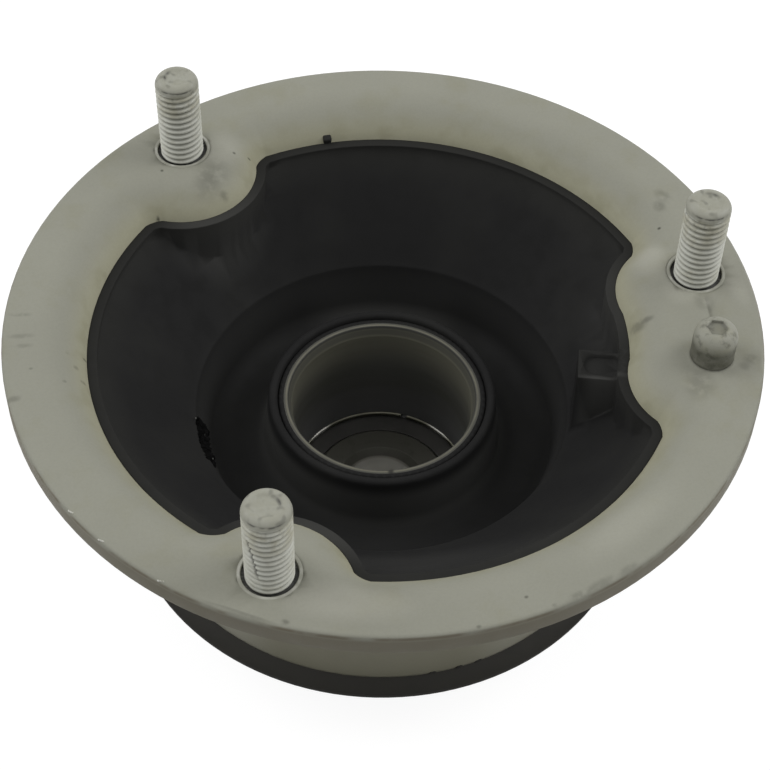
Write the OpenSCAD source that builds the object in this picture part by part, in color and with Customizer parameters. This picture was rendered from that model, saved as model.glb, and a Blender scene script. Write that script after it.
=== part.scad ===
// Strut mount: a pressed steel housing with a scalloped bowl, three studs and a
// locating pin, a bonded rubber cushion, and a steel cup that carries a ball bearing.
// Millimetres. Z points up along the strut, and z = 0 is the flange's top face.

/* [Flange] */
// Outside radius of the flange
flange_r = 66.4; // [62:0.1:72]
// Width of the flange, from its rim in to the bowl's wall
flange_w = 14.65; // [13.9:0.05:15.9]
// Thickness of the flange
flange_t = 4.7; // [4:0.1:5.6]
// Broken edge round the flange's rim
rim_break = 0.5; // [0.2:0.1:1]

/* [Housing] */
// Radius of the rounded mouth, from the flange into the bowl
mouth_r = 9; // [8:0.1:9.5]
// Thickness of the bowl's wall
wall_t = 3; // [2.4:0.1:3.4]
// Outside radius of the straight neck
neck_r = 45.3; // [44.4:0.1:46.2]
// Depth at which the tapered wall meets the neck
taper_depth = 25; // [23:0.5:28]
// Depth of the neck's lower edge below the flange face
housing_depth = 45.4; // [44:0.2:46.8]
// Radius of the bosses that wrap round the studs
boss_r = 14.35; // [14:0.05:14.8]
// Radius of the corners where the bosses meet the bowl
corner_r = 5; // [3:0.1:6]

/* [Studs] */
// Distance from the flange's rim in to a stud's axis
stud_inset = 9.15; // [8.4:0.05:9.9]
// Diameter of a stud
stud_d = 8; // [7:0.5:9]
// Height of a stud above the flange
stud_h = 17.5; // [14:0.5:24]
// How far the press-in collar is larger than the stud, on the radius
stud_collar = 0.45; // [0.3:0.05:0.6]
// Radius of the ring sunk round the foot of a stud
sink_r = 5.2; // [5.15:0.05:5.6]
// Depth of that ring
sink_depth = 1.2; // [0.8:0.1:1.8]
// Radius of a stud's head under the flange
head_r = 7.5; // [6.5:0.1:8]
// Thickness of a stud's head
head_t = 3; // [2:0.1:4]

/* [Locating pin] */
// Diameter of the locating pin
pin_d = 7.6; // [7:0.1:8.4]
// Height of the pin above the flange
pin_h = 7.2; // [5:0.2:10]
// Angle from the first stud to the pin
pin_angle = -20.1; // [-24:0.1:-18]
// Rounding of the pin's top edge
pin_dome = 2.2; // [1.2:0.1:2.6]
// How far the pin's press-in shank is larger than the pin, on the radius
pin_shank = 0.4; // [0.2:0.05:0.8]
// Depth of the shank's upper edge below the flange face
pin_sink = 0.1; // [0.05:0.05:0.2]
// Width across the flats of the socket in the pin's top
pin_socket = 3.2; // [2.4:0.1:4]
// Depth of that socket
pin_socket_depth = 0.5; // [0.3:0.1:2]

/* [Rubber] */
// Depth of the rubber's upper edge below the flange face
rubber_top = 5.9; // [5.2:0.1:6.6]
// Width of the rubber's flat upper edge
land_w = 1.8; // [1.4:0.1:2.4]
// Height of the short wall between that edge and the slope
slope_drop = 1.3; // [0.8:0.1:2.4]
// Radius at the foot of the slope
slope_foot_r = 34; // [32.5:0.1:35]
// Depth at the foot of the slope
slope_foot = 22; // [20.5:0.1:23]
// Rounding of the slope's foot
foot_round = 1; // [0.6:0.1:1.6]
// Depth of the moat between the slope and the cup
moat_depth = 33; // [30:0.5:35]
// Rounding of the moat's floor
moat_r = 4; // [3:0.1:4.6]
// Outside radius of the bead round the cup
bead_r = 20.9; // [20.5:0.1:21.6]
// Clear width between the cup's rim and the bead
bead_gap = 1.1; // [0.9:0.05:1.3]
// How far the bead's inner side leans out
bead_lean = 0.3; // [0.1:0.05:0.5]
// Height of the bead above the cup's rim
bead_h = 0.8; // [0.4:0.1:1.2]
// Outside radius of the lower lip
lip_r = 48.8; // [47.5:0.1:50.5]
// Thickness of the lower lip
lip_t = 1.9; // [1.4:0.1:2.6]
// Height of the hollow under the rubber, above the neck's lower edge
under_h = 7.4; // [5:0.2:8]

/* [Moulded block] */
// Angle of the block on the rubber slope
block_angle = -17.4; // [-19:0.1:-2]
// Width of the block
block_w = 6.6; // [6:0.1:8]
// Radius of the block's inner face
block_r = 34.8; // [34.6:0.1:37]
// Depth of the block's top below the flange face
block_top = 8; // [7:0.1:10]
// Width of the raised frame on the block's top
block_frame = 0.9; // [0.6:0.1:1.2]
// Depth of the recess inside the frame
block_recess = 0.6; // [0.3:0.1:1]

/* [Bearing cup] */
// Inside radius of the cup's tube
tube_r = 16.6; // [16.3:0.05:16.9]
// Sheet thickness of the cup
cup_t = 1.5; // [1.3:0.1:1.8]
// Depth of the cup's rim below the flange face
cup_top = 21.5; // [20.5:0.1:22.5]
// Widening of the mouth at the rim
cup_flare = 0.7; // [0.4:0.1:0.9]
// Depth over which the mouth widens
flare_depth = 2.1; // [1.4:0.1:3]
// Depth of the shoulder that the bearing seats against
seat_depth = 47.2; // [46.8:0.1:48.5]
// How far the crimped lower edge reaches in under the bearing
crimp = 1.2; // [0.8:0.1:1.5]
// Wire diameter of the snap ring above the bearing
ring_d = 1; // [0.8:0.05:1.1]
// How far the ring's wire sits out in the tube's wall
ring_seat = 0.1; // [0:0.05:0.3]
// Gap between the ring and the bearing below it
ring_lift = 0.1; // [0.05:0.05:0.3]
// Angle of the gap in the snap ring
ring_gap_angle = 61.8; // [0:0.1:359]
// Width of the gap in the snap ring
ring_gap = 1.2; // [0.8:0.1:3]

/* [Bearing] */
// Diameter of the bore
bore_d = 14; // [12:0.1:15]
// Width of the bearing
race_w = 11; // [10.6:0.1:13]
// Pitch radius of the balls
pitch_r = 14.9; // [14.7:0.05:15]
// Diameter of a ball
ball_d = 6; // [5.4:0.1:6.2]
// Number of balls
ball_count = 10; // [8:1:11]
// Depth of the ball grooves below the lands
groove_depth = 1.2; // [1:0.05:1.3]
// Running clearance between a ball and its grooves
ball_gap = 0.1; // [0.05:0.01:0.15]
// Thickness of the outer race behind its groove
race_back = 2; // [1.8:0.1:2.6]
// Chamfer of the bore's upper end
bore_chamfer = 1.5; // [1:0.1:2]
// Thickness of a seal
seal_t = 0.9; // [0.7:0.05:1.1]
// How far a seal lies below the race's face
seal_inset = 0.4; // [0.3:0.05:0.6]
// Clearance between a seal's lip and the inner race
seal_gap = 0.15; // [0.1:0.01:0.3]
// Clearance between the cage and the races
cage_gap = 0.35; // [0.3:0.05:0.5]
// Clearance between a ball and its pocket in the cage
pocket_gap = 0.1; // [0.05:0.01:0.2]

/* [Hidden] */
$fn = 96;
// Extra reach of cuts and of parts that are trimmed later
over = 1;
// Small difference that makes neighbouring curved faces cross and not just touch
blend = 0.25;
STUDS = ["stud_right", "stud_left", "stud_front"];
stud_count = len(STUDS);
stud_step = 360 / stud_count;
stud_r = flange_r - stud_inset;
bowl_r = flange_r - flange_w;
pin_r = pin_d / 2;
pin_shank_r = pin_r + pin_shank;
boss_depth = taper_depth - over;
taper_start = (rubber_top + mouth_r) / 2;
neck_in_r = neck_r - wall_t;
collar_r = stud_d / 2 + stud_collar;
pocket_r = boss_r - wall_t;
pocket_round = 4;
liner_r = mouth_wall_r(rubber_top) - land_w;
liner_boss_r = boss_r + bowl_r - liner_r;
liner_corner_r = corner_r - land_w;
slot_min = 0.1;
stud_chamfer = stud_d / 8;
dimple_r = stud_d / 6;
lip_bottom = housing_depth + lip_t;
tube_out_r = tube_r + cup_t;
groove_r = ball_d / 2 + ball_gap;
inner_land_r = pitch_r - groove_r + groove_depth;
outer_land_r = pitch_r + groove_r - groove_depth;
race_r = pitch_r + groove_r + race_back;
race_top = -seat_depth;
race_bottom = race_top - race_w;
race_break = 0.5;
ball_z = race_top - race_w / 2;
seal_r = outer_land_r + race_break;
seal_depth = seal_inset + seal_t;
cup_out_r = race_r + cup_t;
cup_bottom = race_bottom - cup_t;
ring_r = tube_r + ring_seat;
ring_z = race_top + ring_lift + ring_d / 2;
BALLS = [for (i = [1:ball_count]) str("ball_", i < 10 ? "0" : "", i)];
STEEL = "#8d8d82";
STUD_STEEL = "#a4a59b";
RUBBER = "#272725";
BRIGHT = "#b9b9b6";
CAGE = "#7b6a44";

// Points along an arc in a profile, from angle a0 to angle a1
function arc(c, r, a0, a1, n = 6) =
    [for (i = [0:n]) c + r * [cos(a0 + (a1 - a0) * i / n), sin(a0 + (a1 - a0) * i / n)]];

// Angle at the axis between a stud and the corner circle beside its boss
function corner_turn(big_r, lobe_r, c_r) =
    acos((pow(stud_r, 2) + pow(big_r - c_r, 2) - pow(lobe_r + c_r, 2)) / (2 * stud_r * (big_r - c_r)));

// Radius of the bowl's steel wall at a depth in its rounded mouth
function mouth_wall_r(depth) = bowl_r + mouth_r - sqrt(pow(mouth_r, 2) - pow(mouth_r - depth, 2));

// Radius of the bowl's steel wall at a depth on its taper
function taper_wall_r(depth) =
    let (start_r = mouth_wall_r(taper_start))
    start_r + (neck_in_r - start_r) * (depth - taper_start) / (taper_depth - taper_start);

// A quarter disc that rounds an upper edge, to the right of its centre or to the left
module quarter(round_r, side) {
    intersection() {
        circle(r = round_r);
        translate([side > 0 ? 0 : -round_r, 0])
            square(round_r);
    }
}

// Section with a rounded upper edge: solid from radius 0 out to r
module shoulder_section(r, round_r, top, depth) {
    translate([0, -depth])
        square([r - round_r, depth - top]);
    translate([0, -depth])
        square([r, depth - top - round_r]);
    if (round_r > 0)
        translate([r - round_r, -top - round_r])
            quarter(round_r, 1);
}

// Section of a corner's fill: solid from radius r outwards, with the same rounded edge
module corner_section(r, round_r, top, depth, reach) {
    translate([r + round_r, -depth])
        square([reach - r - round_r, depth - top]);
    translate([r, -depth])
        square([reach - r, depth - top - round_r]);
    if (round_r > 0)
        translate([r + round_r, -top - round_r])
            quarter(round_r, -1);
}

// Angles of everything that a boss wraps round: the studs, then the pin
function boss_angles() = concat([for (i = [0:stud_count - 1]) i * stud_step], [pin_angle]);

// Bosses round the studs and the pin, with a bridge from the first stud to the pin
module bosses(lobe_r, round_r, top, depth) {
    for (angle = boss_angles())
        rotate([0, 0, angle])
            translate([stud_r, 0, 0])
                rotate_extrude()
                    shoulder_section(lobe_r, round_r, top, depth);
    rotate([0, 0, pin_angle])
        rotate_extrude(angle = -pin_angle)
            translate([stud_r, 0])
                mirror([1, 0])
                    shoulder_section(lobe_r - blend, round_r, top, depth);
}

// One rounded corner between the bowl's arc and a boss at angle 0
module corner(big_r, lobe_r, c_r, round_r, top, depth) {
    turn = corner_turn(big_r, lobe_r, c_r);
    centre = (big_r - c_r) * [cos(turn), sin(turn)];
    to_stud = [stud_r, 0] - centre;
    stud_dir = atan2(to_stud[1], to_stud[0]);
    translate([centre[0], centre[1], 0])
        rotate([0, 0, stud_dir])
            rotate_extrude(angle = turn - stud_dir)
                corner_section(c_r + blend, round_r, top, depth, 2 * c_r + round_r);
}

// Both corners of every boss
module corners(big_r, lobe_r, c_r, round_r, top, depth) {
    for (i = [0:stud_count - 1])
        rotate([0, 0, i * stud_step]) {
            corner(big_r, lobe_r, c_r, round_r, top, depth);
            rotate([0, 0, i == 0 ? pin_angle : 0])
                mirror([0, 1, 0])
                    corner(big_r, lobe_r, c_r, round_r, top, depth);
        }
}

// Outside of the housing as a filled section
module housing_outside() {
    polygon(concat(
        [[0, 0], [flange_r - rim_break, 0], [flange_r, -rim_break]],
        [[flange_r, rim_break - flange_t], [flange_r - rim_break, -flange_t]],
        arc([bowl_r + wall_t + mouth_r - flange_t, -mouth_r], mouth_r - flange_t, 90, 180),
        [[neck_r, -taper_depth], [neck_r, -housing_depth], [0, -housing_depth]]));
}

// Section of the housing between the bosses: flange, rounded mouth, taper and neck
module housing_section() {
    intersection() {
        housing_outside();
        union() {
            translate([bowl_r + mouth_r, -mouth_r])
                circle(r = mouth_r);
            translate([bowl_r + mouth_r, -mouth_r])
                square([flange_r, mouth_r]);
            polygon([
                [mouth_wall_r(taper_start), -taper_start], [flange_r, -taper_start],
                [flange_r, -housing_depth], [neck_in_r, -housing_depth], [neck_in_r, -taper_depth]]);
        }
    }
}

// The pressed form of the housing, before its pockets and holes
module housing_form() {
    rotate_extrude()
        housing_section();
    intersection() {
        rotate_extrude()
            housing_outside();
        union() {
            bosses(boss_r, mouth_r, 0, boss_depth);
            corners(bowl_r, boss_r, corner_r, mouth_r, 0, boss_depth);
        }
    }
}

// Pressed steel housing with pockets for the stud heads and holes for studs and pin
module housing() {
    color(STEEL)
        difference() {
            housing_form();
            bosses(pocket_r, pocket_round, flange_t, housing_depth);
            for (i = [0:stud_count - 1])
                rotate([0, 0, i * stud_step])
                    translate([stud_r, 0, 0]) {
                        translate([0, 0, -flange_t - over])
                            cylinder(r = collar_r, h = flange_t + 2 * over);
                        translate([0, 0, -sink_depth])
                            cylinder(r = sink_r, h = sink_depth + over);
                    }
            rotate([0, 0, pin_angle])
                translate([stud_r, 0, -flange_t - over])
                    cylinder(r = pin_shank_r, h = flange_t + 2 * over);
        }
}

// Press-in stud at its place on the stud circle
module stud(i) {
    color(STUD_STEEL)
        rotate([0, 0, i * stud_step])
            translate([stud_r, 0, 0])
                rotate_extrude()
                    polygon([
                        [0, stud_h - dimple_r / 2], [dimple_r, stud_h],
                        [stud_d / 2 - stud_chamfer, stud_h], [stud_d / 2, stud_h - stud_chamfer],
                        [stud_d / 2, -sink_depth], [collar_r, -sink_depth], [collar_r, -flange_t],
                        [head_r - rim_break, -flange_t], [head_r, -flange_t - rim_break],
                        [head_r, -flange_t - head_t + rim_break],
                        [head_r - rim_break, -flange_t - head_t], [0, -flange_t - head_t]]);
}

// Locating pin with a domed top and a six-sided socket
module locating_pin() {
    color(STEEL)
        rotate([0, 0, pin_angle])
            translate([stud_r, 0, 0])
                difference() {
                    rotate_extrude()
                        polygon(concat(
                            [[0, pin_h]],
                            arc([pin_r - pin_dome, pin_h - pin_dome], pin_dome, 90, 0),
                            [[pin_r, -pin_sink], [pin_shank_r, -pin_sink]],
                            [[pin_shank_r, -flange_t], [0, -flange_t]]));
                    translate([0, 0, pin_h - pin_socket_depth])
                        cylinder(d = pin_socket / cos(30), h = pin_socket_depth + over, $fn = 6);
                }
}

// Section of the rubber: liner, slope, moat, bead, hollow underside and lower lip
module rubber_section() {
    moat_in_r = bead_r + moat_r / 4;
    moat_out_r = slope_foot_r - moat_r / 2;
    under_in_r = cup_out_r + cup_t;
    under_out_r = neck_in_r - land_w;
    bead_top = bead_h - cup_top;
    bead_in_r = tube_out_r + bead_gap;
    bead_mid = (bead_in_r + bead_r) / 2;
    bead_round = (bead_r - bead_in_r) / 2;
    foot_mid = [slope_foot_r + foot_round, -slope_foot - foot_round];
    slope_lean = atan2(slope_foot - slope_drop - rubber_top, liner_r - slope_foot_r);
    moat_lean = atan2(slope_foot_r - moat_out_r, moat_depth - moat_r - slope_foot);
    polygon(concat(
        [[liner_r, over - rubber_top], [liner_r, -rubber_top - slope_drop]],
        arc(foot_mid, foot_round, 90 + slope_lean, 180 - moat_lean, 3),
        arc([moat_out_r - moat_r, moat_r - moat_depth], moat_r, 0, -90),
        arc([moat_in_r + moat_r, moat_r - moat_depth], moat_r, -90, -180),
        arc([bead_mid, bead_top - bead_round], bead_round, 0, 180),
        [[bead_in_r, -cup_top - bead_h], [bead_in_r - bead_lean, -cup_top]],
        [[tube_out_r - cup_t / 2, -cup_top]],
        [[tube_out_r - cup_t / 2, cup_t - seat_depth], [cup_out_r, cup_t - seat_depth]],
        [[cup_out_r, -lip_bottom], [under_in_r, -lip_bottom]],
        arc([under_in_r + under_h / 2, under_h / 2 - housing_depth], under_h / 2, 180, 90),
        arc([under_out_r - under_h / 2, under_h / 2 - housing_depth], under_h / 2, 90, 0),
        [[under_out_r, -lip_bottom], [lip_r - lip_t / 2, -lip_bottom]],
        arc([lip_r - lip_t / 2, lip_t / 2 - lip_bottom], lip_t / 2, -90, 0, 4),
        [[lip_r, -housing_depth], [neck_r - wall_t / 2, -housing_depth]],
        [[neck_r - wall_t / 2, -taper_depth], [bowl_r + wall_t / 2, -mouth_r]],
        [[bowl_r + wall_t / 2, over - rubber_top]]));
}

// Moulded block on the slope, with a raised frame round a rounded recess
module block() {
    length = stud_r - boss_r - block_r + over;
    height = slope_foot - block_top + over;
    slot_r = block_w / 2 - block_frame;
    slot_half = max(slot_min, length / 2 - block_frame - slot_r);
    rotate([0, 0, block_angle])
        difference() {
            translate([block_r, -block_w / 2, -slope_foot - over])
                cube([length, block_w, height]);
            translate([block_r + length / 2, 0, -block_top - block_recess]) {
                for (side = [-1, 1])
                    translate([side * slot_half, 0, 0])
                        cylinder(r = slot_r, h = block_recess + over);
                translate([-slot_half, -slot_r, 0])
                    cube([2 * slot_half, 2 * slot_r, block_recess + over]);
            }
        }
}

// Rubber cushion, bonded to the housing outside and to the cup inside
module rubber_cushion() {
    color(RUBBER)
        difference() {
            union() {
                rotate_extrude()
                    rubber_section();
                intersection() {
                    rotate_extrude()
                        polygon([
                            [0, over - rubber_top], [bowl_r + wall_t / 2, over - rubber_top],
                            [bowl_r + wall_t / 2, -mouth_r],
                            [taper_wall_r(slope_foot) + wall_t / 2, -slope_foot], [0, -slope_foot]]);
                    union() {
                        bosses(liner_boss_r, 0, rubber_top - over, slope_foot);
                        corners(liner_r, liner_boss_r, liner_corner_r, 0, rubber_top - over, slope_foot);
                    }
                }
                block();
            }
            housing_form();
            translate([0, 0, -rubber_top])
                cylinder(r = flange_r, h = rubber_top + over);
            rotate_extrude()
                cup_outside();
        }
}

// Outside of the cup as a filled section
module cup_outside() {
    polygon([
        [0, -cup_top], [tube_out_r, -cup_top], [tube_out_r, cup_t - seat_depth],
        [cup_out_r - cup_t, cup_t - seat_depth], [cup_out_r, -seat_depth],
        [cup_out_r, cup_bottom], [0, cup_bottom]]);
}

// Stepped steel cup: flared mouth, tube, bearing seat and crimped lower edge
module bearing_cup() {
    color(BRIGHT)
        rotate_extrude()
            difference() {
                cup_outside();
                polygon([
                    [0, over - cup_top], [tube_r + cup_flare, over - cup_top],
                    [tube_r + cup_flare, -cup_top], [tube_r, -cup_top - flare_depth],
                    [tube_r, race_top], [race_r, race_top], [race_r, race_bottom],
                    [race_r - crimp, race_bottom], [race_r - crimp, cup_bottom - over],
                    [0, cup_bottom - over]]);
                translate([ring_r, ring_z])
                    circle(d = ring_d);
            }
}

// Wire snap ring above the bearing, open at one place
module snap_ring() {
    open = ring_gap / ring_r * 180 / PI;
    color(BRIGHT)
        rotate([0, 0, ring_gap_angle + open / 2])
            rotate_extrude(angle = 360 - open)
                translate([ring_r, ring_z])
                    circle(d = ring_d);
}

// Outer race: two seal seats, and the ball groove between the lands
module outer_race() {
    color(BRIGHT)
        rotate_extrude()
            difference() {
                polygon([
                    [seal_r, race_top], [race_r - race_break, race_top], [race_r, race_top - race_break],
                    [race_r, race_bottom + race_break], [race_r - race_break, race_bottom],
                    [seal_r, race_bottom], [seal_r, race_bottom + seal_depth],
                    [outer_land_r, race_bottom + seal_depth], [outer_land_r, race_top - seal_depth],
                    [seal_r, race_top - seal_depth]]);
                translate([pitch_r, ball_z])
                    circle(r = groove_r);
            }
}

// Inner race: bore with chamfered ends, and the ball groove
module inner_race() {
    bore_r = bore_d / 2;
    color(BRIGHT)
        rotate_extrude()
            difference() {
                polygon([
                    [bore_r, race_top - bore_chamfer], [bore_r + bore_chamfer, race_top],
                    [inner_land_r - race_break, race_top], [inner_land_r, race_top - race_break],
                    [inner_land_r, race_bottom + race_break], [inner_land_r - race_break, race_bottom],
                    [bore_r + race_break, race_bottom], [bore_r, race_bottom + race_break]]);
                translate([pitch_r, ball_z])
                    circle(r = groove_r);
            }
}

// Centre of a ball on the pitch circle
module at_ball(i) {
    rotate([0, 0, i * 360 / ball_count])
        translate([pitch_r, 0, ball_z])
            children();
}

// Crown cage: a ring below the balls whose prongs stand up between them
module ball_cage() {
    pocket = ball_d / 2 + pocket_gap;
    base_z = race_bottom + seal_depth + cage_gap;
    color(CAGE)
        difference() {
            rotate_extrude()
                polygon([
                    [inner_land_r + cage_gap, base_z], [outer_land_r - cage_gap, base_z],
                    [outer_land_r - cage_gap, ball_z + ball_d / 6],
                    [inner_land_r + cage_gap, ball_z + ball_d / 6]]);
            for (i = [0:ball_count - 1])
                at_ball(i)
                    sphere(r = pocket);
        }
}

// One bearing ball
module ball(i) {
    color(BRIGHT)
        at_ball(i)
            sphere(d = ball_d);
}

// Seal ring held in the outer race's seat, with its lip close to the inner race
module seal(face_z) {
    color(RUBBER)
        translate([0, 0, face_z])
            rotate_extrude()
                polygon([
                    [inner_land_r + seal_gap, 0], [seal_r, 0], [seal_r, seal_t],
                    [inner_land_r + seal_gap, seal_t]]);
}

housing();
for (i = [0:stud_count - 1])
    stud(i);
locating_pin();
rubber_cushion();
bearing_cup();
snap_ring();
outer_race();
inner_race();
ball_cage();
seal(race_top - seal_depth);  // upper_seal
seal(race_bottom + seal_inset);  // lower_seal
for (i = [0:ball_count - 1])
    ball(i);
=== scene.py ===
"""Strut mount: threads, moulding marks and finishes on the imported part, with its stage and camera."""

import math
from collections import namedtuple

import bmesh
import bpy
from bpy.props import FloatProperty, FloatVectorProperty, IntProperty, PointerProperty
from mathutils import Matrix, Vector, noise


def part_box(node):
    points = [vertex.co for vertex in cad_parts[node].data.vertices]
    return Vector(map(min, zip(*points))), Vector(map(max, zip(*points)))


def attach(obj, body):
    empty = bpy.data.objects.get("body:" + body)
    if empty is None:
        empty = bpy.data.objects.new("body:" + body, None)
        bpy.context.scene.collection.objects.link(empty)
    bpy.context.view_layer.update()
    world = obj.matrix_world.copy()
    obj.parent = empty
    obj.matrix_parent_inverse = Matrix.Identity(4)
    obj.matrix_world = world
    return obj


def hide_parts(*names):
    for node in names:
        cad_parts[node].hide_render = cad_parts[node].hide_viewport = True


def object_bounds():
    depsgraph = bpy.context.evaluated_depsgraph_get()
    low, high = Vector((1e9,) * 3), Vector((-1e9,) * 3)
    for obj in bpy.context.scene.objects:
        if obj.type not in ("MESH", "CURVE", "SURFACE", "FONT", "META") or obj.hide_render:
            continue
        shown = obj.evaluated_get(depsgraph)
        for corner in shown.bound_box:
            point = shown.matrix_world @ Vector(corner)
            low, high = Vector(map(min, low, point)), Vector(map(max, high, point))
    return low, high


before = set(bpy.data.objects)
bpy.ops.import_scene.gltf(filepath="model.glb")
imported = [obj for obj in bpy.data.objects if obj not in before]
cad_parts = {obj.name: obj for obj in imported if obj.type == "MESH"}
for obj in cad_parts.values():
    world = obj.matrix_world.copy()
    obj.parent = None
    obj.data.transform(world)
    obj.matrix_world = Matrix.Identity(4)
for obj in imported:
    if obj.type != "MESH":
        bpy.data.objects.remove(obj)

bl_info = {
    "name": "Strut mount finish",
    "version": (1, 0, 0),
    "blender": (4, 5, 0),
    "location": "View3D > Sidebar > Strut mount",
    "description": "Threads, moulding marks and finishes for a strut mount",
    "category": "Object",
}

MM = 0.001
CAD_LOW, CAD_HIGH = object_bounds()
IMAGE_WIDTH = 770
SENSOR_WIDTH = 36.0

# In millimetres: the flange's outside radius and the rod bore's radius
RIM_R = CAD_HIGH.x / MM
BORE_R = 7.0

# The side of the part that faces the camera
FRONT = math.radians(-102.7)

STUDS = ("stud_right", "stud_left", "stud_front")
BALLS = tuple(name for name in sorted(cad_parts) if name.startswith("ball_") and name != "ball_cage")

# A mark on a surface: its angle and radius about the axis, its half sizes along and across that radius,
# and how strong it is
Mark = namedtuple("Mark", "angle radius along across depth")

# Where the flange is dirty, with one painted contact shadow at the pin's foot; marks up to the size of a dot
# have even edges
DOT = 0.45
FLANGE_DIRT_AND_SHADOW = (
    Mark(13.2, 55.9, 0.45, 0.45, 0.85),
    Mark(17.5, 58.6, 1.5, 1.9, 0.34),
    Mark(19.2, 60.6, 1.8, 2.6, 0.28),
    Mark(111.75, 51.4, 0.42, 0.42, 0.75),
    Mark(108.6, 50.8, 0.42, 0.42, 0.75),
    Mark(119.0, 48.9, 3.6, 4.4, 0.26),
    Mark(122.3, 47.6, 3.2, 3.6, 0.22),
    Mark(120.0, 44.9, 1.0, 1.3, 0.34),
    Mark(126.8, 55.4, 0.42, 0.42, 0.75),
    Mark(133.6, 51.2, 0.5, 0.6, 0.95),
    Mark(168.4, 63.6, 2.6, 0.7, 0.30),
    Mark(173.0, 63.0, 3.2, 0.8, 0.24),
    Mark(175.1, 62.8, 2.6, 0.7, 0.22),
    Mark(174.9, 52.6, 0.4, 0.4, 0.60),
    Mark(175.8, 55.2, 0.5, 0.6, 0.35),
    Mark(180.1, 61.5, 0.5, 0.4, 0.35),
    Mark(178.7, 54.0, 0.6, 0.7, 0.35),
    Mark(181.5, 53.2, 0.6, 0.6, 0.45),
    Mark(183.1, 56.3, 0.5, 0.5, 0.40),
    Mark(185.6, 65.3, 1.8, 1.0, 0.32),
    Mark(238.3, 65.7, 0.35, 7.5, 0.24),
    Mark(244.8, 65.4, 0.7, 1.0, 0.45),
    Mark(271.0, 65.8, 0.4, 0.6, 0.45),
    Mark(278.9, 62.7, 0.4, 0.5, 0.60),
    Mark(282.0, 65.7, 0.5, 0.7, 0.40),
    Mark(286.0, 65.6, 0.9, 3.2, 0.28),
    Mark(289.5, 65.5, 1.1, 4.2, 0.28),
    Mark(294.0, 65.6, 0.9, 3.2, 0.25),
    # Painted contact shadow at the pin's foot
    Mark(332.7, 56.0, 3.6, 4.2, 0.26),
    Mark(338.5, 63.0, 1.5, 1.4, 0.26),
    Mark(340.1, 64.0, 2.0, 1.6, 0.30),
    Mark(349.9, 45.2, 2.0, 2.0, 0.40),
    Mark(350.4, 46.8, 1.4, 1.0, 0.40),
    Mark(352.6, 57.0, 2.6, 3.4, 0.20),
)
# Where the flange is painted lighter, as painted light on the bosses and the flange
FLANGE_PAINTED_LIGHT = (
    Mark(7.0, 50.6, 4.5, 9.0, 0.45),
    Mark(356.5, 53.5, 4.5, 5.0, 0.40),
    Mark(114.0, 53.0, 5.0, 7.0, 0.40),
    Mark(252.0, 60.0, 5.0, 14.0, 0.50),
    Mark(300.0, 59.0, 5.0, 14.0, 0.25),
    Mark(357.0, 64.0, 3.0, 8.0, 0.45),
)
# Where the neck under the flange is painted lighter, as painted light on its left and right
NECK_PAINTED_LIGHT = (
    Mark(218.0, 46.0, 8.0, 16.0, 0.50),
    Mark(294.0, 46.0, 8.0, 16.0, 0.40),
)
# Where the rubber is painted lighter, as painted light on shaded places: the slope in front, the far side of
# the moat, the walls under the bosses and the block's front
RUBBER_PAINTED_LIGHT = (
    Mark(262.0, 43.0, 8.0, 34.0, 0.17),
    Mark(77.3, 28.0, 6.0, 17.0, 0.60),
    Mark(122.0, 45.5, 9.0, 14.0, 0.40),
    Mark(0.0, 44.5, 8.0, 14.0, 0.32),
    Mark(240.0, 44.5, 8.0, 14.0, 0.25),
    Mark(337.8, 39.6, 5.8, 1.0, 0.45),
)
# Where the snap ring is painted bright as highlights, and where the cup's mouth is nicked
RING_HIGHLIGHTS = (
    Mark(124.9, 16.4, 3.2, 3.4, 0.9),
    Mark(34.4, 16.4, 3.2, 3.4, 0.9),
)
CUP_NICK = Mark(263.3, 17.6, 1.2, 0.8, 0.9)

# Angles, in degrees, of the burrs on the flange's rim, of the stains on the studs' tops, each about its
# own stud, and of the flash under the neck
RIM_BURRS = (208.7, 215.4, 226.4)
CAP_STAINS = (60.0, 150.0, 20.0)
NECK_FLASH = (270.1, 276.2, 281.0)

# The places below are (radius, height) in millimetres
NECK_FOOT = (45.3, -45.3)

# The metal pushed in round a stud's foot, with radii from the lip's inside, and the fillet at the pin's foot
LIP_SECTION = ((0.0, -0.5), (0.0, -0.06), (0.06, 0.02), (0.18, 0.05), (0.4, 0.04), (0.62, 0.0), (0.7, -0.4))
PIN_FILLET = (
    (3.7, -0.6), (3.7, 0.45), (3.84, 0.18), (3.98, 0.06), (4.2, 0.025), (4.7, 0.012), (5.3, -0.012),
    (6.4, -0.12), (6.4, -0.6),
)

# The nib on the far edge of the rubber
NIB_SIZE = (1.3, 1.6, 1.5)
NIB_PLACE = (52.7, -5.3)
NIB_ANGLE = 90.2
NIB_TILT = -20.0

# The torn strip at the foot of the slope: its angles, its section, the middle that its points stand off, and
# its light grey flecks, painted glints, as angle, place and half length
TORN_SPAN = (175.7, 194.6)
TORN_SECTION = (
    (35.4, -22.8), (34.8, -22.0), (34.3, -21.8), (34.0, -22.3), (33.8, -22.95), (33.5, -23.6),
    (33.1, -24.1), (33.0, -25.0), (33.1, -26.2),
)
TORN_HEART = (35.0, -24.0)
TORN_GLINT_FLECKS = (
    (177.8, (34.3, -21.5), 0.16),
    (181.6, (33.2, -23.6), 0.34),
    (184.6, (32.9, -24.2), 0.30),
    (187.0, (32.9, -24.2), 0.34),
    (189.4, (32.8, -24.6), 0.26),
    (192.4, (33.3, -23.2), 0.17),
)


def polar(radius, angle, z=0.0):
    """A point at a radius and an angle in degrees about the part's axis."""
    turn = math.radians(angle)
    return Vector((radius * math.cos(turn), radius * math.sin(turn), z))


def smooth(low, high, value):
    """Eases from 0 at low to 1 at high."""
    t = min(1.0, max(0.0, (value - low) / (high - low)))
    return t * t * (3 - 2 * t)


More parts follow.
